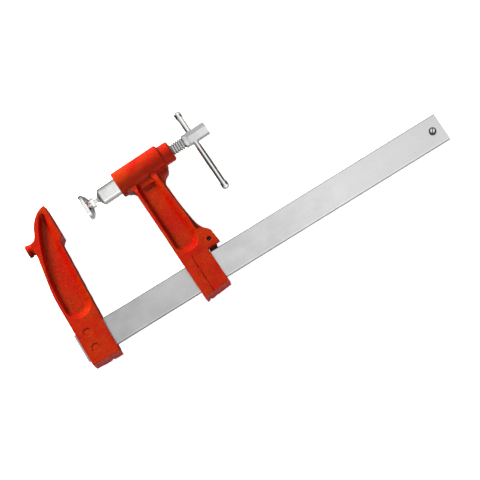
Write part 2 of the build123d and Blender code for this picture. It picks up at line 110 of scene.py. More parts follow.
THREAD_R = 7.4
THREAD_ROOT_R = 5.5
THREAD_PITCH = 3.0
SPINDLE_TIP = -11.4
JOURNAL_GROOVE = (-5.4, -2.0, 5.3)
THREAD_START = 1.5
COLLAR_FRONT = 79.1
COLLAR_R = 8.6
COLLAR_RING_PITCH = 1.9
SHANK_R = 5.0
HEAD_FRONT = 84.9
HEAD_BACK = 111.2
HEAD_FLATS = 15.0
HEAD_PIN_X = 103.6
HEAD_PIN_R = 1.5
HEAD_PIN_HALF = 7.25

TOMMY_X = 91.4
TOMMY_R = 3.5
TOMMY_HOLE_R = 3.6
TOMMY_ENDS = (-75.9, 36.6)
CAP_R = 4.4
CAP_LENGTH = 9.0
CAP_SOCKET = 5.0
CAP_DOME = 3.4              # length of the rounded end

CAST_VOXEL = 0.62
CAST_SMOOTHING = 4
CAST_KEEP = 0.42            # share of the remeshed faces that stays
CAST_WAVES = {"uneven": (7.0, 0.16), "pitted": (2.2, 0.20)}     # size and depth of the waves
CAST_SINK = 0.75            # texture value that leaves the surface where it is
DIP_FROM = -25.0            # the sliding arm's rims sink between these distances from the axis
DIP_TO = -12.5
DIP_TOP = 12.0              # half thickness of the arm there
DIP_DEEP = 2.3
DIP_CLEAR = 16.6            # what is nearer to the axis belongs to the barrel
NOTCH_HALF = 0.9            # groove across the sole of each jaw, in line with its cheek's step
NOTCH_DEEP = 0.9
FIXED_NOTCH_X = 24.5        # from the bar's left end
MOVING_NOTCH_X = 25.0       # from the sliding jaw's left side
SEAM_X = 13.8               # groove down each cheek of the sliding jaw's foot, at its step
SEAM_HALF = 0.6
SEAM_FLOOR = 10.3           # half thickness left at the groove
SEAM_OUT = 13.0             # beyond the cheeks
SEAM_LOW = -180.0
SEAM_TOP = -125.5
SOLE_SLOPE = 1.1            # the sole's height at the groove above its lowest corner
CAST_DRAFT = 3.0            # degrees that the walls lean in from the parting line
PARTING_HALF = 0.7          # half the width of the faint ridge along that line
PARTING_HIGH = 0.22
STEEP_FROM = 0.5            # sideways share of a wall's normal from which it starts to lean
STEEP_SPAN = 0.35           # and the rise of that share over which it leans fully
BARREL_KEEP_R = 17.5        # the barrel keeps its round shape within this distance of the axis
BARREL_FADE = 3.0
BOSS = (4.5, 133.6, 10.0)   # striking boss: from the bar's left end, above its middle, radius kept
BOSS_FADE = 4.0
MELT_X = (2.0, 29.0)        # corners where the arm's rims run into the barrel
MELT_Y = -10.0
MELT_Z = 12.0
MELT_R = 9.0
MELT_ROUNDS = 14

SHARP = 35.0                # degrees between faces from which an edge is shaded as sharp
STRAIGHT = 88.0             # half a corner's angle, in degrees, from which it counts as straight


# ---- frames ----------------------------------------------------------------------------

def jaw_matrix():
    """From the jaw frame in millimetres to the row frame in metres."""
    away = -Vector(joints["piston_slide"]["axis"]).normalized()
    up = Vector((0, 0, 1))
    across = up.cross(away)
    front = Vector(mounts["pad_face"]["pos_m"]) - away * PAD_FACE * MM
    turn = Matrix((away, across, up)).transposed().to_4x4()
    return Matrix.Translation(front) @ turn @ Matrix.Scale(MM, 4)


JAW = jaw_matrix()
ROW = Matrix.Scale(MM, 4)


# ---- mesh building ---------------------------------------------------------------------

def add_piece(name, bm):
    """A scene object from a bmesh, which is used up."""
    mesh = bpy.data.meshes.new(name)
    bm.to_mesh(mesh)
    bm.free()
    piece = bpy.data.objects.new(name, mesh)
    bpy.context.scene.collection.objects.link(piece)
    return piece


def shade(mesh, sharp):
    """Shades a mesh smooth except across edges of at least so many degrees."""
    mesh.shade_smooth()
    mesh.set_sharp_from_angle(angle=radians(sharp))


def make_object(name, bm, place=ROW, sharp=SHARP):
    """A shaded object from a bmesh in millimetres, with its doubled corners merged."""
    bmesh.ops.remove_doubles(bm, verts=bm.verts, dist=1e-4)
    bmesh.ops.recalc_face_normals(bm, faces=bm.faces)
    piece = add_piece(name, bm)
    piece.data.transform(place)
    shade(piece.data, sharp)
    return piece


def bake_modifiers(piece, sharp=SHARP):
    """Turns the object's modifiers into plain mesh."""
    graph = bpy.context.evaluated_depsgraph_get()
    mesh = bpy.data.meshes.new_from_object(piece.evaluated_get(graph))
    piece.modifiers.clear()
    piece.data = mesh
    shade(mesh, sharp)


def cut(piece, *cutters):
    """Subtracts the cutters from the piece and removes them."""
    for cutter in cutters:
        knife = piece.modifiers.new("cut", "BOOLEAN")
        knife.operation = "DIFFERENCE"
        knife.solver = "EXACT"
        knife.object = cutter
    bake_modifiers(piece)
    for cutter in cutters:
        bpy.data.objects.remove(cutter)


def join(name, *parts):
    """One object from several meshes."""
    bm = bmesh.new()
    for part in parts:
        bm.from_mesh(part.data)
        bpy.data.objects.remove(part)
    piece = add_piece(name, bm)
    shade(piece.data, SHARP)
    return piece


def rounded(points, radius, steps=4):
    """A polyline with every inner corner rounded, less where its sides are short."""
    points = [Vector(p) for p in points]
    out = [points[0]]
    for before, corner, after in zip(points, points[1:], points[2:]):
        one, two = before - corner, after - corner
        half = one.angle(two) / 2
        if half > radians(STRAIGHT):
            out.append(corner)
            continue
        back = min(radius / tan(half), 0.45 * one.length, 0.45 * two.length)
        start = corner + one.normalized() * back
        end = corner + two.normalized() * back
        for k in range(steps + 1):
            t = k / steps
            out.append(start * (1 - t) ** 2 + corner * 2 * t * (1 - t) + end * t ** 2)
    return out + [points[-1]]


def arc(x, radius, start, end, steps=12):
    """Points (x, distance from the axis) on a circle about (x, 0), angles from the +x axis."""
    angles = [radians(start + (end - start) * k / steps) for k in range(steps + 1)]
    return [(x + radius * cos(a), abs(radius * sin(a))) for a in angles]


def skin(bm, rings, closed=False):
    """Faces between rings of equally many points; a ring of one point makes a fan."""
    pairs = list(zip(rings, rings[1:]))
    if closed:
        pairs.append((rings[-1], rings[0]))
    for one, two in pairs:
        count = max(len(one), len(two))
        for i in range(count):
            j = (i + 1) % count
            painted_corner_shade = [one[i % len(one)], one[j % len(one)], two[j % len(two)], two[i % len(two)]]
            unique = list(dict.fromkeys(painted_corner_shade))
            if len(unique) > 2:
                bm.faces.new(unique)


def turned(name, profile, steps=96, closed=False, place=JAW):
    """A body turned about the x axis from (x, radius) points."""
    bm = bmesh.new()
    rings = []
    for x, radius in profile:
        if radius < 1e-6:
            rings.append([bm.verts.new((x, 0, 0))])
        else:
            angles = [tau * i / steps for i in range(steps)]
            rings.append([bm.verts.new((x, radius * cos(a), radius * sin(a))) for a in angles])
    skin(bm, rings, closed)
    return make_object(name, bm, place)


def upright(x, y):
    """Places a body turned about x so that it stands along Z at a point in the row frame."""
    return ROW @ Matrix.Translation((x, y, 0.0)) @ Matrix.Rotation(radians(-90), 4, "Y")


def across_spindle(x):
    """Places a body turned about x so that it lies along the jaw frame's y."""
    return JAW @ Matrix.Translation((x, 0, 0)) @ Matrix.Rotation(radians(90), 4, "Z")


def through_spindle(x, y):
    """Places a body turned about x so that it lies along the jaw frame's z."""
    return JAW @ Matrix.Translation((x, y, 0)) @ Matrix.Rotation(radians(90), 4, "Y")


def block(name, low, high, place=ROW):
    """A plain block between two corners, for cutting."""
    bm = bmesh.new()
    bmesh.ops.create_cube(bm, size=1.0)
    size = [b - a for a, b in zip(low, high)]
    middle = [(a + b) / 2 for a, b in zip(low, high)]
    bm.transform(Matrix.Translation(middle) @ Matrix.Diagonal((*size, 1.0)))
    return make_object(name, bm, place)


def rod(name, x0, x1, radius, place, chamfer=0.0):
    """A round bar along its own x, with an optional chamfer at both ends."""
    inner = radius - chamfer
    profile = [
        (x0, 0), (x0, inner), (x0 + chamfer, radius),
        (x1 - chamfer, radius), (x1, inner), (x1, 0)]
    return turned(name, profile, place=place)


def box_mm(node):
    """The two corners of a CAD node's box, in millimetres."""
    return [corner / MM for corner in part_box(node)]


def node_centre(node):
    """The middle of a CAD node's box, in millimetres."""
    low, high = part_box(node)
    return (low + high) / 2 / MM


def copy_of(node, name):
    """A welded copy of a CAD node's mesh, free to change."""
    bm = bmesh.new()
    bm.from_mesh(nodes[node].data)
    bmesh.ops.remove_doubles(bm, verts=bm.verts, dist=1e-7)
    bmesh.ops.dissolve_limit(bm, angle_limit=radians(1.0), verts=bm.verts, edges=bm.edges)
    return add_piece(name, bm)


def eased(node, name, width):
    """A copy of a CAD node with its sharp edges bevelled."""
    piece = copy_of(node, name)
    bevel = piece.modifiers.new("ease", "BEVEL")
    bevel.width = width * MM
    bevel.segments = 3
    bevel.limit_method = "ANGLE"
    bevel.angle_limit = radians(38)
    bake_modifiers(piece, sharp=50)
    return piece


# ---- materials -------------------------------------------------------------------------

class Paint:
    """A procedural material: a Principled shader and the nodes that feed it."""

    def __init__(self, name, **sockets):
        """Starts the material with its shader's sockets, named with underscores, at these values."""
        self.material = bpy.data.materials.new(name)
        self.material.use_nodes = True
        self.tree = self.material.node_tree
        self.shader = self.tree.nodes["Principled BSDF"]
        for socket, value in sockets.items():
            self.shader.inputs[socket.replace("_", " ")].default_value = value
        self.place = self.node("ShaderNodeTexCoord").outputs["Object"]

    def node(self, kind, inputs=None, **settings):
        """A new node with its settings made and its inputs fed."""
        made = self.tree.nodes.new(kind)
        for setting, value in settings.items():
            setattr(made, setting, value)
        for socket, value in (inputs or {}).items():
            self.feed(made.inputs[socket], value)
        return made

    def feed(self, socket, value):
        """Links a socket to another one, or gives it a plain value."""
        if isinstance(value, bpy.types.NodeSocket):
            self.tree.links.new(value, socket)
        else:
            socket.default_value = value

    def along(self, axis):
        """One object coordinate of each point, in metres."""
        return self.node("ShaderNodeSeparateXYZ", {"Vector": self.place}).outputs[axis]

    def stretched(self, scale):
        """Object coordinates scaled differently along each axis."""
        return self.node("ShaderNodeMapping", {"Vector": self.place, "Scale": scale}).outputs[0]

    def noise(self, size_mm, detail=3.0, roughness=0.5, place=None):
        """Noise whose features are about size_mm across, unless place is already scaled."""
        scale = 1.0 if place is not None else 1.0 / (size_mm * MM)
        vector = self.place if place is None else place
        inputs = {"Vector": vector, "Scale": scale, "Detail": detail, "Roughness": roughness}
        return self.node("ShaderNodeTexNoise", inputs).outputs["Fac"]

    def maths(self, operation, *values):
        """The result of a sum on numbers or sockets."""
        made = self.node("ShaderNodeMath", dict(enumerate(values)), operation=operation)
        return made.outputs[0]

    def vectors(self, operation, *values, output="Vector"):
        """The result of a sum on vectors or sockets."""
        made = self.node("ShaderNodeVectorMath", dict(enumerate(values)), operation=operation)
        return made.outputs[output]

    def ramp(self, value, low, high, to_low, to_high):
        """Maps low..high to to_low..to_high and holds the end values outside."""
        inputs = {"Value": value, "From Min": low, "From Max": high, "To Min": to_low, "To Max": to_high}
        return self.node("ShaderNodeMapRange", inputs).outputs[0]

    def mix(self, factor, one, two):
        """Mixes two colours, each a socket or (r, g, b)."""
        made = self.node("ShaderNodeMix", data_type="RGBA")
        self.feed(made.inputs[0], factor)
        for socket, colour in ((made.inputs[6], one), (made.inputs[7], two)):
            self.feed(socket, colour if isinstance(colour, bpy.types.NodeSocket) else (*colour, 1.0))
        return made.outputs[2]

    def spread(self, noise, low, high):
        """Stretches the middle range of a noise, where nearly all of it lies, to low..high."""
        return self.ramp(noise, 0.3, 0.7, low, high)

    def blend(self, noise, one, two):
        """Goes between two colours with a noise."""
        return self.mix(self.spread(noise, 0.0, 1.0), one, two)

    def heights(self, *layers):
        """Bumps from (height socket, millimetres) layers, one on top of the other."""
        normal = None
        for height, deep in layers:
            inputs = {"Height": height, "Distance": deep * MM, "Strength": 1.0}
            if normal is not None:
                inputs["Normal"] = normal
            normal = self.node("ShaderNodeBump", inputs).outputs[0]
        self.feed(self.shader.inputs["Normal"], normal)

    def set(self, socket, value):
        """Gives one of the shader's sockets a value or a link."""
        self.feed(self.shader.inputs[socket], value)

    def off_spindle(self):
        """Distance of each point from the spindle's axis, in metres."""
        axis = tuple(Vector(joints["piston_slide"]["axis"]).normalized())
        away = self.vectors("SUBTRACT", self.place, tuple(mounts["pad_face"]["pos_m"]))
        return self.vectors("LENGTH", self.vectors("CROSS_PRODUCT", away, axis), output="Value")

    def pointed(self, low, high, to_low, to_high):
        """A ramp over the mesh's pointiness: about 0.5 on flats, more on edges, less in corners."""
        pointiness = self.node("ShaderNodeNewGeometry").outputs["Pointiness"]
        return self.ramp(pointiness, low, high, to_low, to_high)


def enamel():
    """Glossy orange-red enamel over a cast surface, smoother on the rims and round the barrel, with painted shade
    in its concave corners.
    """
    red, orange_red = (0.43, 0.004, 0.001), (0.43, 0.022, 0.001)
    deep_red, pit_and_shade_brown = (0.30, 0.003, 0.001), (0.20, 0.004, 0.001)
    paint = Paint("jaw_enamel", IOR=1.5, Coat_Weight=0.06, Coat_Roughness=0.10)
    paint.set("Specular Tint", (1.0, 0.34, 0.10, 1.0))
    # how rough the casting is: fully in the pockets, less on the rims, least round the barrel
    rough = paint.ramp(paint.maths("ABSOLUTE", paint.along("Z")), 8.0 * MM, 11.2 * MM, 1.0, 0.6)
    off_barrel = paint.ramp(paint.off_spindle(), 17.0 * MM, 19.5 * MM, 0.25, 1.0)
    rough = paint.maths("MULTIPLY", rough, off_barrel)
    hue = paint.noise(28.0, detail=2.0)
    tone = paint.noise(9.0, detail=5.0, roughness=0.6)
    grain = paint.noise(1.9, detail=3.0, roughness=0.6)
    colour = paint.mix(paint.ramp(hue, 0.38, 0.62, 0.0, 1.0), red, orange_red)
    colour = paint.mix(paint.ramp(tone, 0.30, 0.62, 0.45, 0.0), colour, deep_red)
    pits = paint.maths("MULTIPLY", paint.ramp(grain, 0.34, 0.48, 1.0, 0.0), rough)
    colour = paint.mix(paint.maths("MULTIPLY", pits, 0.65), colour, pit_and_shade_brown)
    # painted shade: concave corners and creases, where pointiness is low, are darkened towards brown; the same
    # brown also marks pits in the casting
    painted_corner_shade = paint.pointed(0.42, 0.49, 1.0, 0.0)
    colour = paint.mix(paint.maths("MULTIPLY", painted_corner_shade, 0.65), colour, pit_and_shade_brown)
    paint.set("Base Color", colour)
    paint.set("Roughness", paint.spread(grain, 0.22, 0.36))
    cast = paint.maths("MULTIPLY", grain, rough)
    paint.heights((cast, 0.75), (paint.noise(4.5, detail=2.0), 0.45), (paint.noise(0.9), 0.04))
    return paint.material


def satin_bar():
    """Cold-drawn steel: fine lines along the bar, blotches, light scratches; painted shade darkens it towards its
    left end, and it is a little darker towards its right end.
    """
    grey, pale, drawn = (0.68, 0.68, 0.685), (0.72, 0.72, 0.715), (0.55, 0.55, 0.55)
    black = (0.0, 0.0, 0.0)
    paint = Paint("bar_steel", Metallic=1.0, Anisotropic=0.35)
    lines = paint.noise(1.0, detail=2.0, place=paint.stretched((30.0, 2600.0, 2600.0)))
    scuffs = paint.noise(1.0, detail=4.0, place=paint.stretched((220.0, 900.0, 900.0)))
    blotch = paint.noise(22.0, detail=3.0)
    colour = paint.mix(paint.ramp(blotch, 0.35, 0.65, 0.0, 1.0), grey, pale)
    drawn_share = paint.maths("MULTIPLY", paint.spread(lines, 0.0, 1.0), 0.06)
    colour = paint.mix(drawn_share, colour, drawn)
    station = paint.maths("ADD", paint.along("X"), paint.spread(blotch, -0.02, 0.02))
    # painted shade: the bar is darkened towards its left end, by the fixed jaw; it is also made a little darker
    # towards its right end
    painted_shade_left = paint.ramp(station, -0.03, 0.30, 0.40, 0.0)
    darker_right_end = paint.ramp(station, 0.28, 0.42, 0.0, 0.14)
    colour = paint.mix(paint.maths("ADD", painted_shade_left, darker_right_end), colour, black)
    paint.set("Base Color", colour)
    worn = paint.ramp(scuffs, 0.58, 0.72, 0.0, 0.07)
    paint.set("Roughness", paint.maths("ADD", paint.spread(lines, 0.24, 0.28), worn))
    paint.heights((lines, 0.001), (blotch, 0.03))
    return paint.material


def turned_steel():
    """Bright turned steel: fine rings around the spindle axis."""
    paint = Paint("bright_steel", Metallic=1.0)
    away = tuple(-Vector(joints["piston_slide"]["axis"]))
    along = paint.vectors("DOT_PRODUCT", paint.place, away, output="Value")
    ring = {"X": paint.maths("MULTIPLY", along, 3800.0)}
    rings = paint.noise(1.0, detail=3.0, place=paint.node("ShaderNodeCombineXYZ", ring).outputs[0])
    tone = paint.noise(9.0, detail=3.0)
    paint.set("Base Color", paint.blend(tone, (0.80, 0.80, 0.795), (0.88, 0.88, 0.87)))
    paint.set("Roughness", paint.spread(rings, 0.20, 0.32))
    paint.heights((rings, 0.008), (paint.noise(2.0), 0.004))
    return paint.material


def screw_steel():
    """Rolled steel of the screw: bright crests, with painted shade darkening the roots of the thread."""
    root_shade = (0.05, 0.048, 0.045)
    paint = Paint("screw_steel", Metallic=1.0)
    tone = paint.noise(3.0, detail=4.0)
    depth = paint.maths("ADD", paint.off_spindle(), paint.spread(tone, -0.15 * MM, 0.15 * MM))
    # painted shade: the roots of the thread, nearer the axis, are darkened
    root = paint.ramp(depth, 6.3 * MM, 7.0 * MM, 1.0, 0.0)
    bright = paint.blend(tone, (0.76, 0.76, 0.755), (0.88, 0.88, 0.87))
    paint.set("Base Color", paint.mix(paint.maths("MULTIPLY", root, 0.62), bright, root_shade))
    paint.set("Roughness", paint.spread(tone, 0.20, 0.32))
    paint.heights((paint.noise(0.8), 0.01))
    return paint.material


def forged_steel():
    """Duller forged steel of the drive head, with faint marks from the spanner on its flats."""
    rubbed = (0.86, 0.86, 0.86)
    paint = Paint("forged_steel", Metallic=1.0)
    tone = paint.noise(7.0, detail=4.0)
    marks = paint.noise(1.0, detail=3.0, place=paint.stretched((250.0, 1200.0, 1200.0)))
    edges = paint.pointed(0.52, 0.62, 0.0, 1.0)
    grey = paint.blend(tone, (0.60, 0.605, 0.62), (0.69, 0.69, 0.695))
    paint.set("Base Color", paint.mix(paint.maths("MULTIPLY", edges, 0.5), grey, rubbed))
    paint.set("Roughness", paint.spread(marks, 0.20, 0.34))
    paint.heights((marks, 0.006), (tone, 0.03))
    return paint.material


def stop_screw_steel():
    """Screw coloured black round the rim and sides of its head, a painted reflection standing for the dark
    reflection on its rounded edge, and bright steel on the middle of its top round the slot.
    """
    black, bright = (0.045, 0.045, 0.047), (0.72, 0.72, 0.71)
    paint = Paint("stop_screw_steel", Metallic=0.9)
    low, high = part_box("bar_stop_screw")
    away = paint.vectors("SUBTRACT", paint.place, tuple((low + high) / 2))
    flat = paint.vectors("MULTIPLY", away, (1.0, 1.0, 0.0))
    cloud = paint.noise(1.2, detail=4.0)
    radius = paint.vectors("LENGTH", flat, output="Value")
    radius = paint.maths("ADD", radius, paint.spread(cloud, -0.4 * MM, 0.4 * MM))
    middle = paint.ramp(radius, 2.2 * MM, 2.9 * MM, 1.0, 0.0)
    top = paint.ramp(paint.along("Z"), high.z - 0.7 * MM, high.z - 0.2 * MM, 0.0, 1.0)
    # painted reflection: black away from the middle of the top stands for the dark reflection on the rounded head;
    # only the middle keeps a bright steel colour
    paint.set("Base Color", paint.mix(paint.maths("MULTIPLY", middle, top), black, bright))
    paint.set("Roughness", paint.spread(cloud, 0.30, 0.45))
    paint.heights((paint.noise(0.6), 0.015))
    return paint.material


def polished_plate():
    """Polished plating with faint handling marks."""
    paint = Paint("polished_plate", Metallic=1.0)
    smear = paint.noise(6.0, detail=5.0, roughness=0.6)
    hair = paint.noise(1.0, detail=3.0, place=paint.stretched((300.0, 1500.0, 300.0)))
    paint.set("Base Color", paint.blend(smear, (0.82, 0.825, 0.83), (0.90, 0.90, 0.895)))
    paint.set("Roughness", paint.ramp(hair, 0.3, 0.75, 0.07, 0.15))
    paint.heights((smear, 0.004))
    return paint.material


def black_oxide():
    """Blackened steel, rubbed a little brighter on its edges."""
    grey = (0.20, 0.20, 0.20)
    paint = Paint("blackened_steel", Metallic=0.7, Specular_IOR_Level=0.15)
    cloud = paint.noise(2.5, detail=4.0)
    black = paint.mix(cloud, (0.005, 0.005, 0.005), (0.016, 0.016, 0.015))
    edges = paint.pointed(0.52, 0.60, 0.0, 1.0)
    rubbed = paint.maths("MULTIPLY", edges, paint.ramp(cloud, 0.4, 0.7, 0.2, 0.8))
    paint.set("Base Color", paint.mix(rubbed, black, grey))
    paint.set("Roughness", paint.spread(cloud, 0.35, 0.55))
    paint.heights((paint.noise(0.6), 0.02))
    return paint.material


def spring_steel():
    """Tempered strip with a brown-grey tint."""
    paint = Paint("spring_steel", Metallic=1.0)
    cloud = paint.noise(3.0, detail=4.0)
    paint.set("Base Color", paint.mix(cloud, (0.24, 0.22, 0.20), (0.38, 0.37, 0.36)))
    paint.set("Roughness", paint.spread(cloud, 0.28, 0.42))
    paint.heights((paint.noise(0.5), 0.01))
    return paint.material


MATERIALS = {
    "bar_steel": satin_bar(),
    "jaw_enamel": enamel(),
    "bright_steel": turned_steel(),
    "polished_plate": polished_plate(),
    "blackened_steel": black_oxide(),
    "spring_steel": spring_steel(),
}


def settle(piece, body, slot, *stands_for, material=None):
    """Gives a finished piece its material and body, and hides the CAD nodes it stands for."""
    piece.data.materials.clear()
    piece.data.materials.append(material or MATERIALS[slot])
    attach(piece, body)
    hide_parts(*stands_for)


# ---- cast jaws -------------------------------------------------------------------------

def lean_walls(piece, keep_round, keep_near):
    """Moulding draft: steep walls lean in away from the parting line, which stands proud.

    Walls nearer to the spindle axis than keep_round, or to the point and radius in keep_near,
    all in millimetres, stay as they are."""
    mesh = piece.data
    count = len(mesh.vertices)
    points = np.empty(3 * count)
    normals = np.empty(3 * count)
    mesh.vertices.foreach_get("co", points)
    mesh.vertices.foreach_get("normal", normals)
    points = points.reshape(-1, 3)
    normals = normals.reshape(-1, 3)
    flat = normals[:, :2]
    steep = np.hypot(flat[:, 0], flat[:, 1])
    share = np.clip((steep - STEEP_FROM) / STEEP_SPAN, 0, 1)
    if keep_round:
        to_jaw = np.array(JAW.inverted())
        off_axis = np.abs(points @ to_jaw[1, :3] + to_jaw[1, 3])
        share *= np.clip((off_axis - keep_round) / BARREL_FADE, 0, 1)
    if keep_near:
        x, y, radius = keep_near
        off_point = np.hypot(points[:, 0] / MM - x, points[:, 1] / MM - y)
        share *= np.clip((off_point - radius) / BOSS_FADE, 0, 1)
    off_parting = np.abs(points[:, 2]) / MM
    inward = tan(radians(CAST_DRAFT)) * off_parting
    inward += PARTING_HIGH * np.clip(off_parting / PARTING_HALF, 0, 1)
    points[:, :2] -= flat / np.maximum(steep, 1e-6)[:, None] * (share * inward * MM)[:, None]
    mesh.vertices.foreach_set("co", points.ravel())
    mesh.update()


def dip_rims(piece):
    """Lets the sliding arm's rims slope down just before they meet the barrel."""
    to_jaw = JAW.inverted()
    for vertex in piece.data.vertices:
        place = to_jaw @ vertex.co
        beside = (place.y - DIP_FROM) / (DIP_TO - DIP_FROM)
        if not 0.0 < beside < 1.4 or hypot(place.y, place.z) < DIP_CLEAR:
            continue
        share = min(beside, 1.0)
        top = DIP_TOP - DIP_DEEP * share * share * (3 - 2 * share)
        if abs(place.z) > top:
            vertex.co.z *= top / abs(place.z)


def melt(piece, centre):
    """Smooths the mesh around a point in the row frame, in millimetres."""
    group = piece.vertex_groups.new(name="melt")
    spot = Vector(centre) * MM
    for vertex in piece.data.vertices:
        # full strength in the inner part, fading out at MELT_R
        share = 1.6 * (1.0 - (vertex.co - spot).length / (MELT_R * MM))
        if share > 0:
            group.add([vertex.index], min(share, 1.0), "REPLACE")
    soften = piece.modifiers.new("melt", "SMOOTH")
    soften.factor = 0.5
    soften.iterations = MELT_ROUNDS
    soften.vertex_group = group.name
    bake_modifiers(piece, sharp=180)
    piece.vertex_groups.clear()


def cast_jaw(node, name, body, notch_x, keep_round=0.0, keep_near=None, melts=(), seams=()):
    """A cast copy of a CAD jaw: one skin, softened edges and a slightly uneven surface."""
    piece = copy_of(node, name)
    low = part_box(node)[0] / MM
    notch = block("notch", (-NOTCH_HALF, -20, -20), (NOTCH_HALF, NOTCH_DEEP, 20))
    notch.data.transform(Matrix.Translation(Vector((notch_x, low.y + SOLE_SLOPE, 0)) * MM))
    cut(piece, notch, *seams)
    remesh = piece.modifiers.new("skin", "REMESH")
    remesh.mode = "VOXEL"
    remesh.voxel_size = CAST_VOXEL * MM * 1
    soften = piece.modifiers.new("soften", "SMOOTH")
    soften.factor = 0.5
    soften.iterations = CAST_SMOOTHING
    for kind, (size, deep) in CAST_WAVES.items():
        texture = bpy.data.textures.new(f"{name}_{kind}", "CLOUDS")
        texture.noise_scale = size * MM
        wave = piece.modifiers.new(kind, "DISPLACE")
        wave.texture = texture
        wave.strength = deep * MM
        wave.mid_level = CAST_SINK
    thin = piece.modifiers.new("thin", "DECIMATE")
    thin.ratio = CAST_KEEP
    bake_modifiers(piece, sharp=180)
    if keep_round:
        dip_rims(piece)
    for centre in melts:
        melt(piece, centre)
    lean_walls(piece, keep_round, keep_near)
    settle(piece, body, "jaw_enamel", node)


def fixed_jaw_pins():
    """Two pins riveted through the foot, painted over with it."""
    low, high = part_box("fixed_jaw_pins")
    radius = (high.x - low.x) / 2 / MM
    half = (high.z - low.z) / 2 / MM
    x = (low.x + high.x) / 2 / MM
    rim = radius + 0.75     # paint that has gathered around each pin
    dome = [
        (-half - 0.16, 0), (-half - 0.10, radius * 0.6), (-half + 0.05, radius),
        (-half + 0.05, rim), (-half + 1.0, rim), (-half + 1.5, radius)]
    profile = dome + [(-px, r) for px, r in reversed(dome)]
    ends = (low.y / MM + radius, high.y / MM - radius)
    pins = [turned("pin", profile, 48, place=upright(x, y)) for y in ends]
    settle(join("jaw_pins", *pins), "bar", "jaw_enamel", "fixed_jaw_pins")


# ---- bar -------------------------------------------------------------------------------

def flat_bar():
    """The bar, with zigzag serrations along the middle of both narrow edges."""
    low, high = box_mm("bar")
    y0 = (low.y + high.y) / 2
    half_wide = (high.y - low.y) / 2
    half_thick = (high.z - low.z) / 2
    flat = half_thick - BAR_CHAMFER
    inner = half_wide - TOOTH_DEEP
    half_teeth = 2 * int((high.x - low.x) / TOOTH_PITCH)
    bm = bmesh.new()
    rings = []
    for i in range(half_teeth + 1):
        x = low.x + (high.x - low.x) * i / half_teeth
        tooth = inner if i % 2 else half_wide
        side = [
            (half_wide - BAR_CHAMFER, half_thick), (half_wide, flat),
            (half_wide, TOOTH_HALF + TOOTH_LIP), (inner, TOOTH_HALF),
            (tooth, TOOTH_HALF - TOOTH_FLANK), (tooth, -TOOTH_HALF + TOOTH_FLANK),
            (inner, -TOOTH_HALF), (half_wide, -TOOTH_HALF - TOOTH_LIP),
            (half_wide, -flat), (half_wide - BAR_CHAMFER, -half_thick)]
        other = [(-y, -z) for y, z in side]
        rings.append([bm.verts.new((x, y0 + y, z)) for y, z in side + other])
    skin(bm, rings)
    bm.faces.new(rings[0])
    bm.faces.new(rings[-1])
    bar = make_object("flat_bar", bm, sharp=20)
    stop = node_centre("bar_stop_screw")
    cut(bar, rod("hole", -20, 20, STOP_HOLE_R, upright(stop.x, stop.y)))
    bar.data.set_sharp_from_angle(angle=radians(20))
    settle(bar, "bar", "bar_steel", "bar")


def stop_screw():
    """Slotted cheese-head screw that keeps the sliding jaw on the bar."""
    low, high = box_mm("bar_stop_screw")
    x, y = (low.x + high.x) / 2, (low.y + high.y) / 2
    radius = (high.x - low.x) / 2
    head = high.z - STOP_HEAD_HIGH
    profile = rounded([
        (low.z + 0.2, 0), (low.z + 0.2, STOP_SHANK_R - 0.4), (low.z + 0.6, STOP_SHANK_R),
        (head, STOP_SHANK_R), (head, radius),
        (high.z - 0.5, radius), (high.z, radius - 1.5), (high.z, 0)], 0.35)
    screw = turned("stop_screw", profile, 64, place=upright(x, y))
    wide, deep = STOP_SLOT
    slot = block("slot", (-8, -wide / 2, 0), (8, wide / 2, 4 + deep))
    slot.data.transform(
        Matrix.Translation((x * MM, y * MM, (high.z - deep) * MM))
        @ Matrix.Rotation(radians(STOP_SLOT_ANGLE), 4, "Z"))
    cut(screw, slot)
    settle(screw, "bar", "blackened_steel", "bar_stop_screw", material=stop_screw_steel())


# ---- brake -----------------------------------------------------------------------------

def brake():
    """The pawl on its cross pin, the leaf spring behind it, and the piston's guide screw."""
    settle(eased("brake_pawl", "pawl", 0.25), "brake", "blackened_steel", "brake_pawl")
    low, high = box_mm("pawl_pin")
    radius = (high.x - low.x) / 2
    half = high.z
    # each end has a centre mark and a chamfer
    end = [
        (-half + 0.35, 0), (-half + 0.3, 0.7), (-half, 0.9),
        (-half, radius - 0.4), (-half + 0.4, radius)]
    profile = end + [(-x, r) for x, r in reversed(end)]
    pin = turned("cross_pin", profile, 48, place=upright((low.x + high.x) / 2, (low.y + high.y) / 2))
    settle(pin, "brake", "blackened_steel", "pawl_pin")
    settle(eased("pawl_spring", "leaf_spring", 0.08), "moving_jaw", "spring_steel", "pawl_spring")
    guide = eased("piston_guide_screw", "guide_screw", 0.2)
    settle(guide, "moving_jaw", "bright_steel", "piston_guide_screw")


# ---- piston and pad --------------------------------------------------------------------

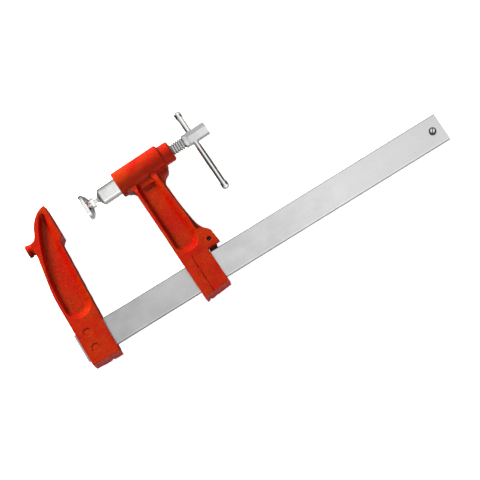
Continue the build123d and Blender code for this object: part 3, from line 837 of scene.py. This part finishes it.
def piston():
    """The sliding piston: bored from the back, with a necked nose and a ball at the front."""
    neck = 2.5
    nose = rounded([
        (PISTON_SHOULDER, PISTON_R - 1.0), (PISTON_SHOULDER - 1.7, 7.2), (PISTON_SHOULDER - 3.2, 4.4),
        (PISTON_SHOULDER - 5.6, neck), (BALL_X + 3.6, neck)], 1.0)
    outside = rounded([
        (PISTON_BACK, PISTON_BORE_R), (PISTON_BACK, PISTON_R), (PISTON_SHOULDER, PISTON_R),
        (PISTON_SHOULDER, PISTON_R - 2.0)], 0.7)
    bore = [
        (PISTON_BORE_FRONT - 2.5, 0), (PISTON_BORE_FRONT - 2.5, 3.05), (PISTON_BORE_FRONT, 3.05),
        (PISTON_BORE_FRONT, PISTON_BORE_R), (PISTON_BACK - 0.5, PISTON_BORE_R)]
    front = arc(BALL_X, BALL_R, 36, 180)
    body = turned("piston_body", bore + outside[:-1] + nose[1:] + front)
    x0, half, floor = KEY_GROOVE
    groove = block("groove", (x0, -half, -20), (PISTON_BACK + 5, half, -floor), JAW)
    groove_end = rod("groove_end", floor, 20, half, through_spindle(x0, 0))
    holes = [
        rod("pin_hole", -20, 20, RETAINER_R, through_spindle(RETAINER_X, side * RETAINER_OFFSET))
        for side in (-1, 1)]
    cut(body, groove, groove_end, *holes)
    settle(body, "piston", "bright_steel", "piston")


def piston_innards():
    """Thrust ball and the two retaining pins."""
    low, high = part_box("thrust_ball")
    radius = (high.z - low.z) / 2 / MM
    centre = JAW.inverted() @ ((low + high) / 2)
    thrust = turned("thrust_bearing_ball", arc(centre.x, radius, 0, 180, 24), 48)
    settle(thrust, "piston", "bright_steel", "thrust_ball")
    pins = [
        rod("pin", -RETAINER_HALF, RETAINER_HALF, RETAINER_R,
            through_spindle(RETAINER_X, side * RETAINER_OFFSET), 0.3)
        for side in (-1, 1)]
    settle(join("retainer_pins", *pins), "piston", "bright_steel", "spindle_retainer_pins")


def swivel_pad():
    """Round pad with a hollowed back, a hub, a socket for the piston's ball, and its snap ring."""
    groove_front, groove_back, groove_r = RING_GROOVE
    outside = rounded([
        (PAD_FACE, 0), (PAD_FACE, PAD_R), (PAD_FACE + PAD_RIM, PAD_R),
        (PAD_FACE + PAD_RIM + 0.5, PAD_R - 1.2),
        PAD_SHOULDER, (-50.0, 6.2), (-45.6, 6.2), (-45.6, SOCKET_R), (groove_back, SOCKET_R)], 0.7)
    inside = [(groove_back, groove_r), (groove_front, groove_r), (groove_front, SOCKET_R)]
    inside += arc(BALL_X, SOCKET_R, 90, 180)
    pad = turned("pad", outside + inside, 128)
    settle(pad, "swivel_pad", "polished_plate", "swivel_pad")
    wire = [
        (RING_FRONT + 0.5 + 0.5 * cos(a), 4.0 + 0.68 * sin(a))
        for a in np.linspace(0, tau, 16, False)]
    ring = turned("snap_ring", wire, 64, closed=True)
    settle(ring, "pad_ring", "spring_steel", "pad_snap_ring")


# ---- spindle ---------------------------------------------------------------------------

def thread(x0, x1, steps=64):
    """Right-hand trapezoidal thread between two stations, running out at both ends."""
    pitch = THREAD_PITCH
    run_out = 0.5 * pitch
    crest, root = THREAD_R - 0.05, THREAD_ROOT_R
    # one ridge, as (share of the pitch, radius)
    shape = [(0.0, root), (0.14, root), (0.20, root + 0.12), (0.44, crest - 0.14), (0.50, crest),
             (0.66, crest), (0.72, crest - 0.14), (0.94, root + 0.12)]
    turns = int((x1 - x0) / pitch) + 3
    rows = [
        (x0 + pitch * (turn - 1 + share), radius)
        for turn in range(turns) for share, radius in shape]
    bm = bmesh.new()

    def point(row, i):
        """The row's point after i steps round the screw, sunk to the root near the ends."""
        x, radius = row
        angle = tau * i / steps
        x -= pitch * i / steps
        fade = min(1.0, max(0.0, (x - x0) / run_out), max(0.0, (x1 - x) / run_out))
        radius = root + (radius - root) * fade
        return (min(max(x, x0), x1), radius * cos(angle), radius * sin(angle))

    grid = [[bm.verts.new(point(row, i)) for i in range(steps + 1)] for row in rows]
    for one, two in zip(grid, grid[1:]):
        for i in range(steps):
            bm.faces.new((one[i], one[i + 1], two[i + 1], two[i]))
    bmesh.ops.remove_doubles(bm, verts=bm.verts, dist=1e-4)
    bmesh.ops.dissolve_degenerate(bm, dist=1e-4, edges=bm.edges)
    open_edges = [edge for edge in bm.edges if edge.is_boundary]
    bmesh.ops.holes_fill(bm, edges=open_edges)
    return make_object("thread", bm, JAW, sharp=25)


def spindle():
    """Screw: grooved journal at the front, thread, collar and the shank inside the drive head."""
    g0, g1, groove_r = JOURNAL_GROOVE
    journal = turned("journal", rounded([
        (SPINDLE_TIP + 1.0, 0), (SPINDLE_TIP + 1.0, 3.3), (SPINDLE_TIP, 3.3), (SPINDLE_TIP, THREAD_R),
        (g0, THREAD_R), (g0, groove_r), (g1, groove_r), (g1, THREAD_R), (THREAD_START, THREAD_R),
        (THREAD_START, 0)], 0.4))
    screw = thread(THREAD_START - 0.2, COLLAR_FRONT + 0.6)
    # two turned grooves around the collar
    ringed = [
        (COLLAR_FRONT + 2.1 + ring * COLLAR_RING_PITCH + shift, COLLAR_R - deep)
        for ring in range(2) for shift, deep in ((0.0, 0.0), (0.45, 0.9), (0.75, 0.9), (1.2, 0.0))]
    collar = turned("collar", rounded([
        (COLLAR_FRONT, 0), (COLLAR_FRONT, THREAD_ROOT_R + 0.6), (COLLAR_FRONT + 1.2, COLLAR_R - 0.3),
        *ringed, (HEAD_FRONT, COLLAR_R), (HEAD_FRONT, SHANK_R),
        (HEAD_BACK - 0.4, SHANK_R), (HEAD_BACK - 0.4, 0)], 0.25))
    hole = rod("hole", -20, 20, TOMMY_HOLE_R, across_spindle(TOMMY_X))
    pin_hole = rod("pin_hole", -20, 20, HEAD_PIN_R, across_spindle(HEAD_PIN_X))
    cut(collar, hole, pin_hole)
    whole = join("screw_spindle", journal, screw, collar)
    settle(whole, "spindle", "bright_steel", "spindle", material=screw_steel())


def drive_head():
    """Hexagonal sleeve, its ends chamfered by cones so that each flat ends in an arc."""
    flat = HEAD_FLATS / 2
    rim = flat - 0.2
    slope = tan(radians(30))
    steps = 144
    bm = bmesh.new()
    columns = []
    for i in range(steps):
        angle = tau * i / steps
        off_flat = (angle + pi / 6) % (pi / 3) - pi / 6
        radius = min(flat / cos(off_flat), flat * 2 / sqrt(3) - 0.22)
        front = HEAD_FRONT + 0.1 + (radius - rim) * slope * 1.25
        back = HEAD_BACK - (radius - rim) * slope * 0.8
        profile = [
            (HEAD_FRONT, SHANK_R), (HEAD_FRONT, rim - 0.5), (HEAD_FRONT + 0.1, rim),
            (front, radius - 0.04), (front + 0.25, radius),
            (back - 0.25, radius), (back, radius - 0.04),
            (HEAD_BACK, rim - 0.1), (HEAD_BACK, SHANK_R)]
        columns.append([bm.verts.new((x, r * cos(angle), r * sin(angle))) for x, r in profile])
    skin(bm, [list(ring) for ring in zip(*columns)], closed=True)
    head = make_object("hex_head", bm, JAW, sharp=24)
    mouth = flat + 0.05
    flare = [
        (-20, 0), (-20, TOMMY_HOLE_R + 0.3), (-mouth, TOMMY_HOLE_R + 0.15),
        (-mouth + 0.2, TOMMY_HOLE_R)]
    bore_profile = flare + [(-x, r) for x, r in reversed(flare)]
    bore = turned("bore", bore_profile, 64, place=across_spindle(TOMMY_X))
    cut(head, bore, rod("pin_hole", -20, 20, HEAD_PIN_R, across_spindle(HEAD_PIN_X)))
    head.data.set_sharp_from_angle(angle=radians(24))
    settle(head, "spindle", "bright_steel", "drive_head", material=forged_steel())
    pin = turned("head_pin", rounded([
        (-HEAD_PIN_HALF, 0), (-HEAD_PIN_HALF, HEAD_PIN_R), (HEAD_PIN_HALF, HEAD_PIN_R), (HEAD_PIN_HALF, 0)],
        0.3), 32, place=across_spindle(HEAD_PIN_X))
    settle(pin, "spindle", "bright_steel", "drive_head_pin")


# ---- tommy bar -------------------------------------------------------------------------

def tommy_bar():
    """Polished bar with a rounded cap swaged onto each end."""
    low, high = TOMMY_ENDS
    inset = CAP_LENGTH - CAP_SOCKET
    bar = turned("tommy_rod", rounded([
        (low + inset, 0), (low + inset, TOMMY_R), (high - inset, TOMMY_R), (high - inset, 0)], 0.3),
        64, place=across_spindle(TOMMY_X))
    settle(bar, "tommy_bar", "polished_plate", "tommy_bar")
    floor = inset - 0.05
    inside = TOMMY_R + 0.02
    cap = rounded([
        (floor, 0), (floor, inside), (CAP_LENGTH, inside), (CAP_LENGTH, CAP_R - 0.35),
        (CAP_LENGTH - 0.5, CAP_R), (CAP_DOME, CAP_R)], 0.25)
    dome = [(CAP_DOME - CAP_DOME * sin(a), CAP_R * cos(a)) for a in np.linspace(0, pi / 2, 12)]
    dome[-1] = (0.0, 0.0)
    near_end = across_spindle(TOMMY_X) @ Matrix.Translation((low, 0, 0))
    far_end = (across_spindle(TOMMY_X) @ Matrix.Translation((high, 0, 0))
               @ Matrix.Rotation(pi, 4, "Z"))
    near = turned("cap", cap + dome[1:], 64, place=near_end)
    far = turned("cap", cap + dome[1:], 64, place=far_end)
    settle(join("tommy_caps", near, far), "tommy_bar", "polished_plate", "tommy_bar_caps")


# ---- studio ----------------------------------------------------------------------------

CAMERA_AZIMUTH = -2.65
CAMERA_ELEVATION = 73.74
CAMERA_ROLL = -29.15
CAMERA_DISTANCE = 2.298
CAMERA_AIM = (220.1, 11.6)      # from the bar's left end and above its centre line
CAMERA_LENS = 150.0
CAMERA_SENSOR = 36.0

LIGHT_AIM = (0.15, -0.05, 0.0)
WHITE = (1.0, 1.0, 1.0)
SOFTBOXES = (
    # name, place, width and height, watts, colour, seen in reflections
    ("key", (-0.42, 1.20, 0.62), (0.7, 0.6), 72.0, (0.88, 1.0, 0.80), False),
    ("overhead", (0.15, 0.10, 2.0), (1.8, 1.8), 4.5, WHITE, False),
    ("front", (0.45, -1.25, 0.22), (1.2, 0.4), 12.0, (1.0, 0.35, 0.35), False),
    ("glint", (-1.00, 1.20, 0.06), (0.22, 0.16), 3.0, WHITE, True),
)


def camera():
    """A long lens above the clamp, rolled so that the bar climbs to the right."""
    azimuth, elevation = radians(CAMERA_AZIMUTH), radians(CAMERA_ELEVATION)
    back = Vector((sin(azimuth) * cos(elevation), -cos(azimuth) * cos(elevation), sin(elevation)))
    low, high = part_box("bar")
    along, above = CAMERA_AIM
    aim = Vector((low.x + along * MM, (low.y + high.y) / 2 + above * MM, 0.0))
    data = bpy.data.cameras.new("camera")
    data.lens = CAMERA_LENS
    data.sensor_width = CAMERA_SENSOR
    shot = bpy.data.objects.new("camera", data)
    shot.rotation_mode = "QUATERNION"
    shot.location = aim + back * CAMERA_DISTANCE
    roll = Matrix.Rotation(radians(CAMERA_ROLL), 3, "Z")
    shot.rotation_quaternion = ((-back).to_track_quat("-Z", "Y").to_matrix() @ roll).to_quaternion()
    bpy.context.scene.collection.objects.link(shot)
    bpy.context.scene.camera = shot


def softbox(name, place, size, power, tint, glossy):
    """A rectangular light at a point, facing the clamp; metres and watts."""
    data = bpy.data.lights.new(name, "AREA")
    data.shape = "RECTANGLE"
    data.size, data.size_y = size
    data.energy = power
    data.color = tint
    lamp = bpy.data.objects.new(name, data)
    lamp.location = place
    lamp.rotation_mode = "QUATERNION"
    lamp.rotation_quaternion = (Vector(LIGHT_AIM) - Vector(place)).to_track_quat("-Z", "Y")
    lamp.visible_glossy = glossy
    bpy.context.scene.collection.objects.link(lamp)


def pale_floor():
    """A nearly white floor that is only a backdrop and throws no light on the clamp."""
    floor_bm = bmesh.new()
    bmesh.ops.create_grid(floor_bm, x_segments=1, y_segments=1, size=6000.0)
    floor = make_object("floor", floor_bm)
    floor.location = (0.2, 0.0, cad_low.z)
    ground = Paint("floor", Roughness=0.9, Specular_IOR_Level=0.1)
    ground.set("Base Color", ground.mix(ground.noise(300.0), (0.88, 0.88, 0.88), (0.92, 0.92, 0.92)))
    ground.set("Emission Color", (*WHITE, 1.0))
    ground.set("Emission Strength", 0.93)
    floor.data.materials.append(ground.material)
    floor.visible_glossy = False
    floor.visible_diffuse = False


def studio_sky():
    """A white tent that only shows in reflections: (x, y, z) is the direction looked in."""
    world = bpy.data.worlds.new("studio")
    world.use_nodes = True
    tree = world.node_tree
    sky = tree.nodes["Background"]
    direction = tree.nodes.new("ShaderNodeTexCoord").outputs["Generated"]
    split = tree.nodes.new("ShaderNodeSeparateXYZ")
    tree.links.new(direction, split.inputs[0])

    def ramp(value, low, high, to_low, to_high):
        """Maps low..high to to_low..to_high and holds the end values outside."""
        made = tree.nodes.new("ShaderNodeMapRange")
        tree.links.new(value, made.inputs["Value"])
        ends = {"From Min": low, "From Max": high, "To Min": to_low, "To Max": to_high}
        for socket, number in ends.items():
            made.inputs[socket].default_value = number
        return made.outputs[0]

    def combine(operation, *values):
        """The result of a sum on any values, worked out from the left."""
        total = values[0]
        for value in values[1:]:
            made = tree.nodes.new("ShaderNodeMath")
            made.operation = operation
            for socket, part in zip(made.inputs, (total, value)):
                if isinstance(part, bpy.types.NodeSocket):
                    tree.links.new(part, socket)
                else:
                    socket.default_value = part
            total = made.outputs[0]
        return total

    x, y, z = split.outputs
    # dim below the horizon, brighter above it and brighter still overhead
    tent = combine("ADD", ramp(z, -0.30, 0.0, 0.20, 0.72), ramp(z, 0.25, 0.62, 0.0, 0.42))
    # a little more light from below in front
    below = combine("MULTIPLY", ramp(z, -0.70, -0.28, 0.06, 0.32), ramp(z, -0.28, 0.0, 1.0, 0.0),
                    ramp(y, -0.05, -0.50, 0.0, 1.0))
    tent = combine("ADD", tent, below)
    # black panels to the left and right, behind the clamp
    ends = ramp(combine("ABSOLUTE", x, 0.0), 0.30, 0.75, 0.0, 0.90)
    behind = combine("MULTIPLY", ramp(y, 0.06, 0.18, 0.0, 1.0), ramp(y, 0.36, 0.46, 1.0, 0.0))
    open_share = combine("SUBTRACT", 1.0, combine("MULTIPLY", ends, behind))
    # dimmer to the left, and nearly dark straight below
    left = ramp(x, -0.22, 0.04, 0.66, 1.0)
    under = ramp(z, -0.95, -0.88, 0.10, 1.0)
    tent = combine("MULTIPLY", tent, open_share, left, under)
    # a strip of lit floor, and a band along the horizon in front
    lit_floor = combine("MULTIPLY", ramp(z, -0.950, -0.925, 0.0, 1.0),
                        ramp(z, -0.86, -0.76, 1.0, 0.0), ramp(y, -0.15, 0.05, 0.75, 0.0))
    front = combine("MULTIPLY", ramp(z, -0.25, 0.0, 0.0, 1.0), ramp(z, 0.24, 0.44, 1.0, 0.0),
                    ramp(y, -0.60, -0.88, 0.0, 0.75))
    tree.links.new(combine("ADD", tent, lit_floor, front), sky.inputs["Strength"])
    sky.inputs["Color"].default_value = (*WHITE, 1.0)
    world.cycles_visibility.diffuse = False
    bpy.context.scene.world = world


def studio():
    """Pale floor, white tent and softboxes; the key is a little green and the front one red."""
    pale_floor()
    studio_sky()
    for box in SOFTBOXES:
        softbox(*box)


def fixed_jaw():
    """The cast jaw riveted to the bar's left end."""
    low, high = box_mm("bar")
    right, above, radius = BOSS
    boss = (low.x + right, (low.y + high.y) / 2 + above, radius)
    cast_jaw("fixed_jaw", "fixed_jaw_casting", "bar", low.x + FIXED_NOTCH_X, keep_near=boss)


def sliding_jaw():
    """The cast jaw that slides on the bar and carries the screw in its barrel."""
    painted_corner_shade = [
        JAW @ Vector((x, MELT_Y, side * MELT_Z)) / MM
        for x in MELT_X for side in (-1, 1)]
    left, right = SEAM_X - SEAM_HALF, SEAM_X + SEAM_HALF
    seams = [
        block("seam", (left, SEAM_LOW, z0), (right, SEAM_TOP, z1), place=JAW)
        for z0, z1 in ((SEAM_FLOOR, SEAM_OUT), (-SEAM_OUT, -SEAM_FLOOR))]
    notch_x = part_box("moving_jaw")[0].x / MM + MOVING_NOTCH_X
    cast_jaw("moving_jaw", "sliding_jaw_casting", "moving_jaw", notch_x,
             keep_round=BARREL_KEEP_R, melts=painted_corner_shade, seams=seams)


def main():
    """Builds every piece and the studio around them."""
    fixed_jaw()
    sliding_jaw()
    fixed_jaw_pins()
    flat_bar()
    stop_screw()
    brake()
    piston()
    piston_innards()
    swivel_pad()
    spindle()
    drive_head()
    tommy_bar()
    camera()
    studio()
    bpy.context.scene.view_settings.view_transform = "Standard"


main()
